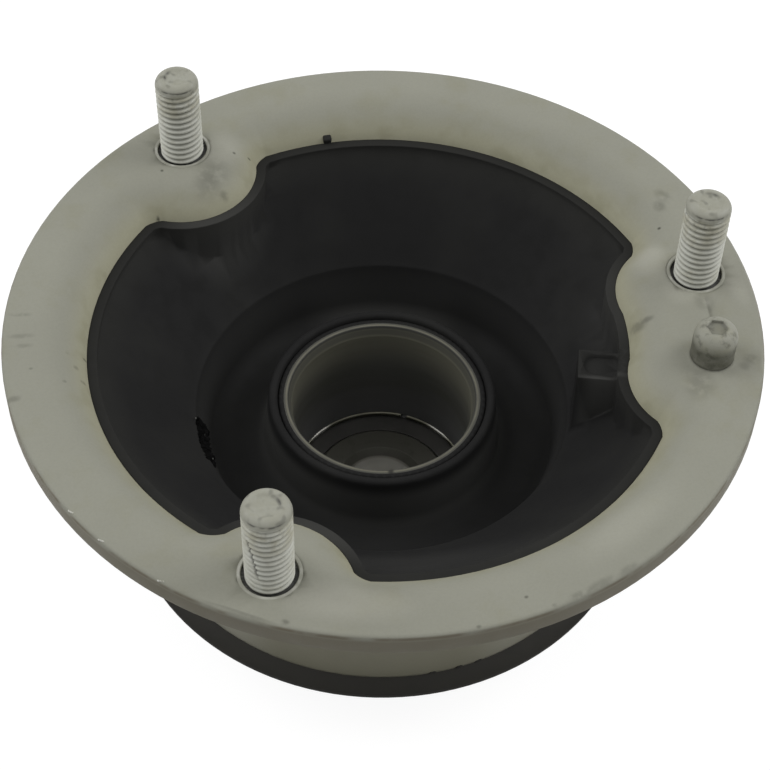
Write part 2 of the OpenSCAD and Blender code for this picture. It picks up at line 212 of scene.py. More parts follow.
def linear(colour):
    """A display colour, each channel from 0 to 255, as the shader's linear colour."""
    def channel(c):
        c /= 255
        return c / 12.92 if c <= 0.04045 else ((c + 0.055) / 1.055) ** 2.4
    return tuple(channel(c) for c in colour)


class Finish:
    """One procedural material whose coordinates are millimetres in the part's own frame."""

    def __init__(self, name, colour, roughness, metallic=0.0, specular=0.5):
        self.material = bpy.data.materials.new(name)
        self.material.use_nodes = True
        self.tree = self.material.node_tree
        self.shader = self.tree.nodes["Principled BSDF"]
        self.colour = (*colour, 1.0)
        self.roughness = roughness
        self.shader.inputs["Metallic"].default_value = metallic
        self.shader.inputs["Specular IOR Level"].default_value = specular
        place = self.add("ShaderNodeTexCoord")
        self.place = self.vector("SCALE", place.outputs["Object"], scale=1 / MM)
        self.flat = self.vector("MULTIPLY", self.place, (1.0, 1.0, 0.0))
        self.radius = self.vector("LENGTH", self.flat)
        split = self.add("ShaderNodeSeparateXYZ")
        self.feed(split.inputs[0], self.place)
        self.height = split.outputs["Z"]
        self.bumped = None

    def add(self, kind, **settings):
        """A new node with these settings."""
        node = self.tree.nodes.new(kind)
        for key, value in settings.items():
            setattr(node, key, value)
        return node

    def feed(self, socket, value):
        """Links a socket to another one, or sets its value."""
        if isinstance(value, bpy.types.NodeSocket):
            self.tree.links.new(value, socket)
        else:
            socket.default_value = value

    def vector(self, operation, a, b=None, scale=None):
        """One step of vector maths."""
        node = self.add("ShaderNodeVectorMath", operation=operation)
        self.feed(node.inputs[0], a)
        if b is not None:
            self.feed(node.inputs[1], b)
        if scale is not None:
            node.inputs["Scale"].default_value = scale
        return node.outputs["Value" if operation in ("LENGTH", "DISTANCE") else "Vector"]

    def times(self, a, b):
        """The product of two amounts."""
        node = self.add("ShaderNodeMath", operation="MULTIPLY", use_clamp=True)
        self.feed(node.inputs[0], a)
        self.feed(node.inputs[1], b)
        return node.outputs[0]

    def step(self, value, low, high, start=0.0, end=1.0):
        """Eases from start at low to end at high."""
        node = self.add("ShaderNodeMapRange", interpolation_type="SMOOTHSTEP")
        for socket, number in zip(node.inputs, (value, low, high, start, end)):
            self.feed(socket, number)
        return node.outputs[0]

    def band(self, value, low, low_full, high_full, high):
        """1 from low_full to high_full, easing to 0 at low and at high."""
        return self.times(self.step(value, low, low_full), self.step(value, high, high_full))

    def noise(self, size, detail=2.0, roughness=0.5, shift=0.0, stretch=(1.0, 1.0, 1.0)):
        """Soft blotches about size millimetres across, from 0 to 1."""
        mapping = self.add("ShaderNodeMapping")
        self.feed(mapping.inputs["Vector"], self.place)
        mapping.inputs["Location"].default_value = (shift, shift, shift)
        mapping.inputs["Scale"].default_value = stretch
        node = self.add("ShaderNodeTexNoise")
        self.feed(node.inputs["Vector"], mapping.outputs[0])
        for key, number in (("Scale", 1 / size), ("Detail", detail), ("Roughness", roughness)):
            node.inputs[key].default_value = number
        return node.outputs["Fac"]

    def attribute(self, name):
        """An amount that the mesh itself carries at its points."""
        return self.add("ShaderNodeAttribute", attribute_name=name).outputs["Fac"]

    def spot(self, mark):
        """1 in the middle of a mark, falling to 0 at its edge."""
        mapping = self.add("ShaderNodeMapping", vector_type="TEXTURE")
        self.feed(mapping.inputs["Vector"], self.flat)
        mapping.inputs["Location"].default_value = polar(mark.radius, mark.angle)
        mapping.inputs["Rotation"].default_value = (0.0, 0.0, math.radians(mark.angle))
        mapping.inputs["Scale"].default_value = (mark.along, mark.across, 1.0)
        return self.step(self.vector("LENGTH", mapping.outputs[0]), 1.0, 0.2, end=mark.depth)

    def mix(self, amount, target):
        """Lays a colour over the finish by an amount from 0 to 1."""
        node = self.add("ShaderNodeMix", data_type="RGBA")
        self.feed(node.inputs[0], amount)
        self.feed(node.inputs[6], self.colour)
        self.feed(node.inputs[7], (*target, 1.0))
        self.colour = node.outputs[2]

    def rough(self, amount, target):
        """Moves the roughness towards a target by an amount from 0 to 1."""
        node = self.add("ShaderNodeMix", data_type="FLOAT")
        self.feed(node.inputs[0], amount)
        self.feed(node.inputs[2], self.roughness)
        self.feed(node.inputs[3], target)
        self.roughness = node.outputs[0]

    def bump(self, height, depth, strength=1.0):
        """Raises the surface by a height from 0 to 1 times depth, in millimetres."""
        node = self.add("ShaderNodeBump")
        node.inputs["Strength"].default_value = strength
        node.inputs["Distance"].default_value = depth * MM
        self.feed(node.inputs["Height"], height)
        if self.bumped is not None:
            self.feed(node.inputs["Normal"], self.bumped)
        self.bumped = node.outputs[0]

    def soften(self, radius):
        """Lets sharp edges catch the light as if rounded to this radius, in millimetres."""
        node = self.add("ShaderNodeBevel", samples=6)
        node.inputs["Radius"].default_value = radius * MM
        self.bumped = node.outputs[0]

    def done(self):
        """Joins the finish to its shader and gives the material."""
        self.feed(self.shader.inputs["Base Color"], self.colour)
        self.feed(self.shader.inputs["Roughness"], self.roughness)
        if self.bumped is not None:
            self.feed(self.shader.inputs["Normal"], self.bumped)
        return self.material


def zinc_finish(name, colours, sink):
    """Dull zinc on pressed steel: soft blotches, a yellow cast by the rubber, smudges, painted lighter
    patches, and painted shade on the neck, the rim's side, by the pin and in the sunk rings at the stud
    feet.
    """
    finish = Finish(name, colours.zinc, roughness=0.56, specular=0.22)
    finish.soften(0.8)
    broad = finish.noise(24.0)
    finish.mix(finish.step(broad, 0.35, 0.70, end=0.8), tuple(c * 0.95 for c in colours.zinc))
    blotch = finish.noise(7.0, detail=3.0, roughness=0.55, shift=40.0)
    finish.mix(finish.step(blotch, 0.50, 0.78, end=0.30), colours.zinc_stain)
    # Painted light: lighter patches on the flange
    for mark in FLANGE_PAINTED_LIGHT:
        finish.mix(finish.spot(mark), colours.painted_light)
    finish.mix(finish.step(finish.height, -0.8, -5.0, end=0.9), colours.mouth)
    cast = finish.noise(5.0, shift=63.0)
    near_rubber = finish.step(finish.height, -0.4, -4.5)
    finish.mix(finish.times(near_rubber, finish.step(cast, 0.45, 0.7, end=0.4)), colours.zinc_stain)
    # The neck under the flange: stained zinc, painted darker as shade
    below = finish.step(finish.height, -10.0, -13.0)
    finish.mix(below, colours.neck)
    # Painted light: lighter on the neck's left and right
    for mark in NECK_PAINTED_LIGHT:
        finish.mix(finish.times(finish.spot(mark), below), colours.painted_light)
    # Painted shade: the side of the rim is painted darker
    at_rim = finish.step(finish.radius, RIM_R - 1.2, RIM_R - 0.4)
    finish.mix(finish.times(at_rim, finish.step(finish.height, -0.5, -1.5)), colours.side)
    outer = finish.step(finish.radius, RIM_R - 0.9, RIM_R - 0.5)
    dirty = finish.times(outer, finish.step(cast, 0.35, 0.6, end=0.75))
    finish.mix(finish.times(finish.band(finish.height, -0.25, -0.5, -0.7, -1.2), dirty), colours.edge)
    patchy = finish.step(finish.noise(1.8, detail=3.0, shift=9.0), 0.28, 0.58)
    rim_top = finish.step(finish.height, -1.0, -0.4)
    mouth = finish.step(finish.height, -8.0, -7.0)
    # Dirt marks, and one painted contact shadow at the pin's foot
    for mark in FLANGE_DIRT_AND_SHADOW:
        spot = finish.spot(mark)
        if mark.along > DOT:
            spot = finish.times(spot, patchy)
        reach = rim_top if mark.radius > RIM_R - 2.2 else mouth
        finish.mix(finish.times(spot, reach), colours.grime_and_shade)
    # Painted shade in the sunk ring round each stud's foot
    for stud in STUDS:
        away = finish.vector("DISTANCE", finish.flat, centre_of(stud) / MM)
        finish.mix(finish.step(away, sink / MM + 0.08, sink / MM - 0.08, end=0.92), colours.shadow)
    grain = finish.noise(0.45, detail=3.0, roughness=0.65, shift=3.0)
    finish.mix(finish.step(grain, 0.3, 0.8, end=0.06), colours.grime_and_shade)
    finish.rough(finish.step(blotch, 0.35, 0.75), 0.66)
    finish.bump(broad, 0.08, strength=0.4)
    finish.bump(grain, 0.010, strength=0.5)
    return finish.done()


def pin_finish(name, colours):
    """The flange's zinc with dirt, darker towards the foot of the pin as dirt and painted shade, with
    painted shade in the socket and at the foot.
    """
    finish = Finish(name, colours.zinc, roughness=0.5, specular=0.3)
    finish.soften(0.7)
    blotch = finish.noise(2.4, detail=4.0, roughness=0.6)
    finish.mix(finish.step(blotch, 0.42, 0.75, end=0.4), colours.zinc_stain)
    speck = finish.noise(1.3, detail=4.0, roughness=0.6, shift=21.0)
    finish.mix(finish.step(speck, 0.48, 0.72, end=0.45), colours.grime_and_shade)
    # Darker lower half: partly dirt, partly painted shade
    dirt = finish.times(finish.step(finish.height, 5.4, 3.4), finish.step(blotch, 0.2, 0.6, start=0.6))
    finish.mix(finish.times(dirt, 0.65), colours.grime_and_shade)
    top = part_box("locating_pin")[1].z / MM
    away = finish.vector("DISTANCE", finish.flat, centre_of("locating_pin") / MM)
    # Painted shade in the hex socket
    socket = finish.times(finish.step(away, 2.0, 1.5), finish.step(finish.height, top, top - 0.4))
    finish.mix(finish.times(socket, 0.35), colours.grime_and_shade)
    # Painted contact shade at the pin's foot
    finish.mix(finish.step(finish.height, 1.0, 0.1, end=0.5), colours.shadow)
    finish.rough(dirt, 0.7)
    finish.bump(blotch, 0.05, strength=0.5)
    return finish.done()


def stud_finish(name, colours):
    """Pale plated thread with roots painted darker as shade and dirt, a dull top, yellowish dirt in the
    first turns, and dirt with painted shade laid by the mesh's own attribute.
    """
    finish = Finish(name, colours.stud, roughness=0.48, specular=0.4)
    blotch = finish.noise(2.2, detail=4.0, roughness=0.6)
    finish.mix(finish.step(blotch, 0.45, 0.75, end=0.4), colours.stud_stain)
    upper = finish.step(finish.height, 8.5, 12.5)
    finish.mix(finish.times(upper, finish.step(blotch, 0.3, 0.6, end=0.65)), colours.stud_stain)
    finish.mix(finish.times(finish.attribute("cap"), 0.85), colours.stud_cap)
    # Painted shade in the thread's roots, with dirt
    finish.mix(finish.times(finish.attribute("groove"), 0.85), colours.stud_root_shade_and_dirt)
    # Dirt, stains and painted shade carried by the stud's own attribute
    finish.mix(finish.attribute("grime_and_shade"), colours.shadow)
    grain = finish.noise(0.3, detail=3.0, roughness=0.7)
    finish.rough(finish.step(blotch, 0.4, 0.8), 0.62)
    finish.bump(blotch, 0.05, strength=0.5)
    finish.bump(grain, 0.010, strength=0.6)
    return finish.done()


def rim_finish(name, colours):
    """Metal pushed up round a stud's foot, rubbed lighter along part of its crest."""
    finish = Finish(name, colours.zinc, roughness=0.5, specular=0.3)
    wear = finish.noise(3.5, detail=3.0)
    crest = finish.times(finish.step(finish.height, 0.0, 0.06), finish.step(wear, 0.42, 0.62))
    finish.mix(finish.times(crest, 0.6), colours.bright)
    finish.rough(crest, 0.38)
    finish.bump(wear, 0.03, strength=0.5)
    return finish.done()


def burr_finish(name, colours):
    """Bare metal torn up into small bright burrs."""
    finish = Finish(name, colours.bright, roughness=0.4, specular=0.4)
    grain = finish.noise(0.5, detail=3.0)
    finish.mix(finish.step(grain, 0.45, 0.7, end=0.7), colours.zinc_stain)
    finish.bump(grain, 0.03, strength=0.6)
    return finish.done()


def rubber_finish(name, colours, gloss=0.62, worn=None):
    """Moulded black rubber: grey bloom in soft clouds, painted light on its upper part, on shaded walls and
    round the cup, dusty grey low in the moat, worn grey at its lower end.
    """
    finish = Finish(name, colours.rubber, roughness=gloss, specular=0.07)
    finish.soften(0.35)
    cloud = finish.noise(18.0)
    bloom = finish.noise(3.6, detail=4.0, roughness=0.6, shift=17.0)
    # Painted light: the upper rubber is painted lighter, in the bloom's grey
    finish.mix(finish.step(finish.height, -12.0, -6.5, end=0.7), colours.bloom)
    finish.mix(finish.step(finish.height, -21.0, -25.0, end=0.10), colours.dust_and_light)
    finish.mix(finish.step(cloud, 0.40, 0.75, end=0.35), colours.bloom)
    finish.mix(finish.step(bloom, 0.58, 0.82, end=0.18), colours.bloom)
    # Painted light on shaded walls of the rubber
    for mark in RUBBER_PAINTED_LIGHT:
        finish.mix(finish.spot(mark), colours.dust_and_light)
    # Dust on the ring round the cup, also painted light lifting its shaded wall
    bead = finish.band(finish.height, -22.0, -25.0, -30.0, -33.0)
    finish.mix(finish.times(bead, finish.step(finish.radius, 28.0, 23.0, end=0.5)), colours.dust_and_light)
    lip = finish.step(finish.height, -44.0, -45.2)
    finish.mix(finish.times(lip, finish.step(bloom, 0.2, 0.7, start=0.7)),
               colours.lip_dust if worn is None else worn)
    skin = finish.noise(0.5, detail=3.0, roughness=0.6, shift=5.0)
    finish.rough(finish.step(bloom, 0.4, 0.75), min(1.0, gloss + 0.14))
    finish.bump(bloom, 0.05, strength=0.3)
    finish.bump(skin, 0.015, strength=0.4)
    return finish.done()


def torn_finish(name, colours):
    """Torn rubber: black and ragged, with no bloom."""
    finish = Finish(name, colours.torn, roughness=0.7, specular=0.04)
    tear = finish.noise(0.7, detail=4.0, roughness=0.6)
    finish.mix(finish.step(tear, 0.55, 0.8, end=0.6), colours.rubber)
    finish.bump(tear, 0.15, strength=0.8)
    return finish.done()


def glint_fleck_finish(name, colours):
    """Shreds of rubber left on the tear, coloured light grey as painted glints."""
    finish = Finish(name, colours.glint_fleck, roughness=0.4, specular=0.4)
    grain = finish.noise(0.4, detail=3.0)
    finish.mix(finish.step(grain, 0.4, 0.7, end=0.8), colours.rubber)
    finish.bump(grain, 0.03, strength=0.6)
    return finish.done()


def cup_finish(name, colours):
    """Drawn steel, dull inside, with painted shade deeper in and in bands at the mouth, painted light low
    down, worn brighter along the mouth and nicked at one place.
    """
    finish = Finish(name, colours.cup, roughness=0.5, specular=0.3)
    finish.soften(0.3)
    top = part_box("bearing_cup")[1].z / MM
    ring = finish.noise(3.0, detail=3.0, stretch=(0.15, 0.15, 1.0))
    # Painted shade deeper in the cup
    finish.mix(finish.step(finish.height, top - 2.0, top - 12.0), colours.cup_shade_and_stain)
    finish.mix(finish.step(ring, 0.4, 0.75, end=0.3), colours.grime_and_shade)
    wear = finish.noise(5.0, shift=11.0)
    # Painted shade along the top edge of the mouth
    finish.mix(finish.step(finish.height, top - 0.5, top - 0.1, end=0.75), colours.cup_shade_and_stain)
    edge = finish.band(finish.radius, 17.35, 17.5, 17.65, 17.85)
    worn = finish.times(finish.step(finish.height, top - 0.35, top - 0.05), edge)
    finish.mix(finish.times(worn, finish.step(wear, 0.30, 0.65, start=0.5)), colours.cup_rim)
    # Painted shade in a thin line and on the flare under the mouth
    line = finish.band(finish.radius, 17.05, 17.2, 17.28, 17.42)
    finish.mix(finish.times(line, finish.step(finish.height, top - 1.6, top - 1.2)), colours.cup_shade_and_stain)
    flare = finish.band(finish.height, top - 0.5, top - 0.8, top - 1.5, top - 1.9)
    finish.mix(finish.times(flare, 0.6), colours.cup_shade_and_stain)
    # Painted light: lighter low in the cup
    finish.mix(finish.step(finish.height, top - 13.0, top - 24.0, end=0.85), colours.cup_low_painted_light)
    finish.mix(finish.spot(CUP_NICK), colours.shadow)
    finish.rough(finish.step(ring, 0.3, 0.8), 0.6)
    finish.bump(ring, 0.03, strength=0.5)
    return finish.done()


def steel_finish(name, colour, stain, roughness, metallic=0.85, highlights=(), bright=None, bore=None):
    """Turned or ground steel with faint turning rings, a few stains, painted highlights at given marks and a
    painted highlight round a bore.
    """
    finish = Finish(name, colour, roughness=roughness, metallic=metallic)
    finish.soften(0.12)
    stains = finish.noise(2.6, detail=4.0, roughness=0.6)
    finish.mix(finish.step(stains, 0.5, 0.8, end=0.6), stain)
    # Painted highlights
    for mark in highlights:
        finish.mix(finish.spot(mark), bright)
    # Painted highlight round the bore's edge
    if bore:
        finish.mix(finish.step(finish.radius, bore + 0.4, bore + 0.1), bright)
    rings = finish.add("ShaderNodeTexWave", wave_type="RINGS", rings_direction="Z")
    finish.feed(rings.inputs["Vector"], finish.place)
    rings.inputs["Scale"].default_value = 1.6
    rings.inputs["Distortion"].default_value = 0.4
    finish.rough(stains, min(1.0, roughness + 0.2))
    finish.bump(rings.outputs["Fac"], 0.006, strength=0.5)
    return finish.done()


def mesh_piece(name, bm, body, material, crease=40.0):
    """Turns a finished bmesh into a piece that rides on a body; edges past crease degrees stay sharp."""
    bmesh.ops.recalc_face_normals(bm, faces=bm.faces)
    for face in bm.faces:
        face.smooth = True
    mesh = bpy.data.meshes.new(name)
    bm.to_mesh(mesh)
    bm.free()
    mesh.set_sharp_from_angle(angle=math.radians(crease))
    mesh.materials.append(material)
    piece = bpy.data.objects.new(name, mesh)
    bpy.context.scene.collection.objects.link(piece)
    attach(piece, body)
    return piece


def dressed(node, material):
    """A merged copy of a carried-over part, shaded by the size of its faces, in place of that part."""
    bm = bmesh.new()
    bm.from_mesh(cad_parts[node].data)
    bmesh.ops.remove_doubles(bm, verts=bm.verts, dist=1e-6)
    piece = mesh_piece(node + "_skin", bm, "root", material, crease=30.0)
    even = piece.modifiers.new("even_shading", "WEIGHTED_NORMAL")
    even.keep_sharp = True
    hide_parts(node)


def turned(profile, steps, closed=False):
    """A bmesh turned about Z from a chain of (radius, height) points."""
    bm = bmesh.new()
    chain = [bm.verts.new((r, 0.0, z)) for r, z in profile]
    pairs = list(zip(chain, chain[1:])) + ([(chain[-1], chain[0])] if closed else [])
    edges = [bm.edges.new(pair) for pair in pairs]
    bmesh.ops.spin(bm, geom=chain + edges, cent=(0, 0, 0), axis=(0, 0, 1), angle=math.tau, steps=steps,
                   use_merge=True)
    bmesh.ops.remove_doubles(bm, verts=bm.verts, dist=1e-7)
    return bm


def swing(bm, verts, turn, axis):
    """Turns points by degrees about an axis through the origin."""
    bmesh.ops.rotate(bm, cent=(0, 0, 0), matrix=Matrix.Rotation(math.radians(turn), 3, axis), verts=verts)


def flake(bm, place, angle, size, seed):
    """Adds a small ragged flake at a place and an angle; size is its three half widths."""
    made = bmesh.ops.create_icosphere(bm, subdivisions=3, radius=1.0)["verts"]
    for vert in made:
        vert.co *= 1 + 0.45 * noise.noise(vert.co * 1.7 + Vector((seed * 7.3, 0, 0)))
    bmesh.ops.scale(bm, vec=Vector(size) * MM, verts=made)
    bmesh.ops.translate(bm, vec=(place[0] * MM, 0, place[1] * MM), verts=made)
    swing(bm, made, angle, "Z")


def round_corner(centre, width, height, count):
    """Points on a quarter of an ellipse of a profile, from its side up to its top."""
    turns = [math.pi / 2 * i / count for i in range(count + 1)]
    return [(centre[0] + width * math.cos(t), centre[1] + height * math.sin(t)) for t in turns]


def centre_of(node):
    """The axis of an upright round node, on the flange's top face."""
    low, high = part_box(node)
    return Vector(((low.x + high.x) / 2, (low.y + high.y) / 2, 0.0))


def millimetres(title, what, size):
    """A length to set, with its default in millimetres."""
    return FloatProperty(name=title, description=what, default=size * MM, unit="LENGTH")


def degrees(title, what, turn):
    """An angle to set, with its default in degrees."""
    return FloatProperty(name=title, description=what, default=math.radians(turn), subtype="ANGLE")


def shade(title, what, rgb):
    """A colour to set, with its default as a display colour."""
    return FloatVectorProperty(name=title, description=what, subtype="COLOR", size=3, min=0.0, max=1.0,
                               default=linear(rgb))


class StudSettings(bpy.types.PropertyGroup):
    """Sizes of the studs and of the ring round their feet"""
    pitch: millimetres("Pitch", "Pitch of the thread", 1.25)
    depth: millimetres("Depth", "Depth of the thread", 0.55)
    radius: millimetres("Radius", "Outside radius", 4.0)
    tip_w: millimetres("Tip width", "Width of the rounded tip", 1.4)
    tip_h: millimetres("Tip height", "Height of the rounded tip", 1.6)
    dimple: millimetres("Dimple", "Depth of the dimple", 0.4)
    collar: millimetres("Collar", "Radius of the collar", 4.45)
    knurl: millimetres("Knurl", "Radius over the knurl", 4.98)
    teeth: IntProperty(name="Teeth", description="Number of teeth in the knurl", default=40)
    sink: millimetres("Sink", "Depth of the sunk ring", 1.2)
    lip_r: millimetres("Lip", "Inside radius of the metal pushed in at the foot", 4.62)
    sink_r: millimetres("Sink radius", "Radius of the sunk ring", 5.2)
    flange: millimetres("Flange", "Thickness of the flange", 4.7)
    rings: IntProperty(name="Rings", description="Rings of faces in one turn of the thread", default=14)
    sides: IntProperty(name="Sides", description="Faces round a stud", default=120)


class ColourSettings(bpy.types.PropertyGroup):
    """Colours of the finishes"""
    zinc: shade("Zinc", "Dull zinc of the housing", (146, 146, 134))
    # Lighter zinc, used as painted light on the flange and on the neck
    painted_light: shade("Sheen", "Zinc that is rubbed lighter", (178, 177, 165))
    # Darker zinc, painted shade on the side of the rim
    side: shade("Rim side", "Zinc on the side of the rim", (119, 115, 101))
    edge: shade("Rim edge", "Brown dirt along the edge of the rim", (104, 95, 78))
    # Stained zinc, painted darker as shade under the flange
    neck: shade("Neck", "Zinc of the neck under the flange", (136, 134, 118))
    zinc_stain: shade("Zinc stain", "Yellowish cast on the zinc", (136, 134, 110))
    mouth: shade("Mouth", "Zinc of the bowl's mouth, by the rubber", (163, 161, 139))
    bright: shade("Bright", "Bare metal where it is rubbed", (198, 198, 190))
    # Dirt and dark smudges; also painted shade in the pin's socket and on the pin's lower half
    grime_and_shade: shade("Grime", "Dirt and dark smudges", (54, 54, 44))
    # Painted shade in the sunk rings at the stud feet, in the knurl and at the pin's foot; also black dirt
    # in cracks and in the cup's nick
    shadow: shade("Dark dirt", "Black dirt in gaps and cracks", (24, 24, 21))
    stud: shade("Stud", "Plating on the studs", (204, 205, 195))
    stud_stain: shade("Stud stain", "Dull yellowish patches on the studs", (170, 167, 146))
    stud_cap: shade("Stud cap", "Dull top of a stud", (143, 143, 131))
    # Painted shade in the roots of the thread, with dirt
    stud_root_shade_and_dirt: shade("Stud root", "Roots of the thread", (104, 104, 92))
    rubber: shade("Rubber", "Black rubber", (32, 32, 32))
    # Grey bloom; also painted light on the upper rubber
    bloom: shade("Bloom", "Grey bloom on the rubber", (46, 46, 44))
    torn: shade("Torn rubber", "Black of the torn rubber", (13, 13, 13))
    # Light grey of the flecks: painted glints
    glint_fleck: shade("Fleck", "Shiny flecks on the torn rubber", (104, 104, 100))
    # Dust on the rubber; also painted light on its shaded places
    dust_and_light: shade("Dust", "Dust on the rubber", (80, 80, 78))
    lip_dust: shade("Lip dust", "Worn grey of the lower lip", (58, 57, 54))
    seal: shade("Seal", "Worn grey of the bearing's seals", (84, 83, 80))
    cup: shade("Cup", "Steel of the bearing cup", (92, 91, 80))
    # Darker steel: painted shade in the cup, and the snap ring's stains
    cup_shade_and_stain: shade("Cup depth", "Dark steel deep in the cup", (62, 62, 58))
    # Lighter steel low in the cup: painted light
    cup_low_painted_light: shade("Cup bottom", "Greyer steel at the bottom of the cup", (98, 98, 98))
    cup_rim: shade("Cup rim", "Worn mouth of the cup", (102, 100, 87))
    steel: shade("Bearing steel", "Races, balls and ring", (188, 187, 180))
    race: shade("Race face", "Dull face of the inner race", (80, 79, 71))
    # Lighter steel, painted highlight round the rod's bore
    bore: shade("Bore", "Lighter steel of the rod's bore", (140, 138, 128))
    cage: shade("Cage", "Brass of the ball cage", (140, 118, 72))


class StageSettings(bpy.types.PropertyGroup):
    """Camera, light and floor"""
    distance: millimetres("Distance", "Camera to the flange's centre", 335.68)
    azimuth: degrees("Azimuth", "Camera's turn about the part's axis", -12.71)
    elevation: degrees("Elevation", "Camera's height above the horizon", 47.577)
    aim_right: FloatProperty(name="Aim right", description="Aim to the right of the centre", default=0.0014)
    aim_up: FloatProperty(name="Aim up", description="Aim above the centre", default=-0.0355)
    roll: degrees("Roll", "Camera's roll", 1.31494)
    focal_px: FloatProperty(name="Focal length", description="Focal length in pixels of the image",
                            default=1914.8)
    sky: FloatProperty(name="Sky", description="Strength of the light from all round", default=0.58)
    lamp: FloatProperty(name="Lamp", description="Power of each side lamp", default=4.6, unit="POWER")
    lamp_size: millimetres("Lamp size", "Width of each side lamp", 700.0)
    lamp_away: millimetres("Lamp distance", "Lamp to the flange's centre", 1100.0)
    lamp_up: degrees("Lamp height", "Lamp's height above the horizon", 36)
    lamp_back: degrees("Lamp turn", "Lamp's turn behind the part's side", 12)
    floor: FloatVectorProperty(name="Floor", description="Colour of the floor", subtype="COLOR", size=3,
                               default=(0.25, 0.25, 0.25))
    shadow: FloatProperty(name="Shadow", description="Share of the floor's white that a shadow can take",
                          default=0.2)
    glow: FloatProperty(name="Glow", description="White that the floor shows by itself", default=0.9)
    # White that the floor shows under the part, in its painted shadow
    glow_in_painted_shadow: FloatProperty(name="Glow under", description="White that it shows under the part",
                              default=0.075)


class MountSettings(bpy.types.PropertyGroup):
    """Everything that can be set on the mount"""
    studs: PointerProperty(type=StudSettings)
    colours: PointerProperty(type=ColourSettings)
    stage: PointerProperty(type=StageSettings)


def thread_dip(turns):
    """How deep a rounded thread lies at a place along its pitch: 0 on the crest, 1 in the root."""
    return (0.5 - 0.5 * math.cos(math.tau * turns)) ** 2.0


def stud_profile(s, low, top):
    """Half section of a stud, from the middle of its head up to the middle of its top."""
    head_r = s.radius + 3.5 * MM
    edge = 0.5 * MM
    base_edge = 1.5 * MM
    seat = -s.flange
    step = -s.sink
    shoulder = step + 0.35 * MM
    flat_r = s.radius - s.tip_w
    shaft_top = top - s.tip_h
    tip_rings = 16
    top_rings = 12
    rings = round((shaft_top - shoulder) / s.pitch * s.rings)
    points = [(0.0, low), (head_r - base_edge, low), (head_r, low + base_edge), (head_r, seat - edge)]
    points += [(head_r - edge, seat), (s.collar, seat), (s.collar, step), (s.knurl, step)]
    points += [(s.knurl, shoulder - 0.1 * MM), (s.radius, shoulder)]
    points += [(s.radius, shoulder + (shaft_top - shoulder) * i / rings) for i in range(1, rings)]
    points += round_corner((flat_r, shaft_top), s.tip_w, s.tip_h, tip_rings)
    points += [(flat_r * (1 - i / top_rings), top) for i in range(1, top_rings + 1)]
    return points


def facing_front(turn, spread):
    """1 on the side of a stud that faces the front of the part, easing to 0 a spread of radians away."""
    return smooth(spread, 0.5 * spread, abs(math.remainder(turn - FRONT, math.tau)))


def seam_place(z):
    """Angle of the jagged seam in the front stud's thread at a height."""
    height = z / MM
    jag = 0.07 * noise.noise(Vector((0.3, 0.7, height * 1.9)))
    jag += 0.05 * noise.noise(Vector((4.1, 0.2, height * 0.6)))
    return math.radians(-134.6 - 3.3 * (height - 7)) + jag


# A point of a stud: its radius, height and turn, its place in the noise, and the roughness there
Place = namedtuple("Place", "r z turn where rough")


def place_on_stud(vert, index):
    """Where a point lies on a stud that still stands at the origin."""
    where = vert.co / MM + Vector((index * 31.0, 0, 0))
    r = math.hypot(vert.co.x, vert.co.y)
    turn = math.atan2(vert.co.y, vert.co.x)
    return Place(r, vert.co.z, turn, where, noise.noise(where * 1.3))


def set_radius(vert, r, turn):
    """Moves a point to a radius and keeps its height."""
    vert.co.x = r * math.cos(turn)
    vert.co.y = r * math.sin(turn)


def shape_tip(vert, at, s, top, stained, grime_and_shade):
    """Hollows the top of a stud and cuts a crease under its round edge, with stains in the hollow and
    painted shade in the crease on the side facing the front.
    """
    flat_r = s.radius - s.tip_w
    hollow = smooth(flat_r, 0.62 * flat_r, at.r)
    hollow_edge = 1 - abs(2 * hollow - 1)
    stain = smooth(0.15, 0.6, noise.noise(at.where * 0.8 + Vector((7, 3, 0))))
    aside = abs(math.remainder(at.turn - math.radians(stained), math.tau))
    crescent = hollow_edge * smooth(0.9, 0.3, aside) * (1 + at.rough)
    # Painted shade in the crease, on the side facing the front
    crease = smooth(0.2, 0.05, abs(top - 0.85 * MM - at.z) / MM) * facing_front(at.turn, 1.1)
    vert[grime_and_shade] = max(0.35 * stain, 0.75 * crescent, 0.85 * crease * smooth(-0.6, 0.0, at.rough))
    vert.co.z -= s.dimple * hollow * (0.9 + 0.3 * at.rough)
    set_radius(vert, at.r - 0.10 * MM * crease, at.turn)


def shape_thread(vert, at, s, top, seamed, groove, grime_and_shade):
    """Cuts the thread into a stud's shaft, and a split seam where it has one, with dirt near the top, dark
    in the seam, and painted shade at the foot in the sunk ring.
    """
    height = at.z / MM
    shaft_top = top - s.tip_h
    dip = thread_dip((at.z - shaft_top) / s.pitch + 0.5 - at.turn / math.tau)
    fade = smooth(shaft_top + 0.1 * MM, shaft_top - 0.7 * MM, at.z)
    dirt = 0.35 * smooth(0.2, 0.6, at.rough) * smooth(top - 5 * MM, top - 2.5 * MM, at.z)
    split = 0.0
    if seamed:
        aside = math.remainder(at.turn - seam_place(at.z), math.tau)
        fade *= 1 - 0.8 * smooth(0.02, -0.12, aside) * smooth(-1.9, -1.2, aside)
        split = smooth(0.06, 0.015, abs(aside)) * smooth(3.2, 4.2, height) * smooth(12.4, 11.0, height)
    vert[groove] = dip * fade
    # Dirt near the top, the dark seam, and painted shade below the flange's face
    vert[grime_and_shade] = max(dirt, 0.8 * split, 0.92 * smooth(-0.05, -0.5, height))
    set_radius(vert, at.r - s.depth * dip * fade * (1 + 0.2 * at.rough) - 0.16 * MM * split, at.turn)


